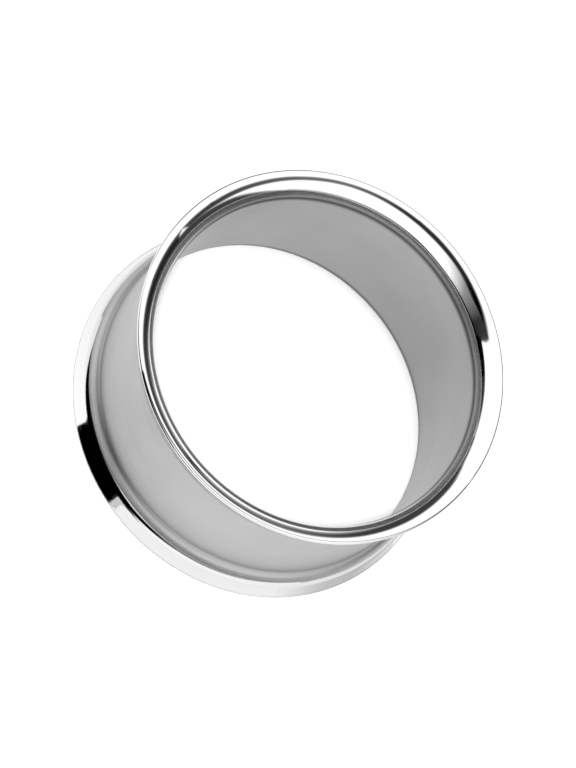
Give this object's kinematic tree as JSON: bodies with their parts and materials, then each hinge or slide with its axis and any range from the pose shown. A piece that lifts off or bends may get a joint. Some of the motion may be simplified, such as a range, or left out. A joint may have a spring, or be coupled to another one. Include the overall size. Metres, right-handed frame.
{
  "type": "ear plug gauge",
  "caption": "Open, double-flared ear plug gauge (tunnel): a thin straight steel tube with a rounded, mirror-polished rim at each end, worn in a stretched earlobe.",
  "frame": {"origin": "on the surface it rests on, at the foot of the hole's axis: the centre of the lower rim's face", "axes": "+Z along the hole's axis, from the lower rim to the upper one; X and Y are any two directions across it, because it is round"},
  "size_m": [0.0242, 0.0242, 0.0117],
  "materials": {
    "steel": "surgical stainless steel: mirror-polished rims and mouths, satin body and bore"
  },
  "bodies": {
    "root": {"tunnel": "steel"}
  },
  "joints": []
}
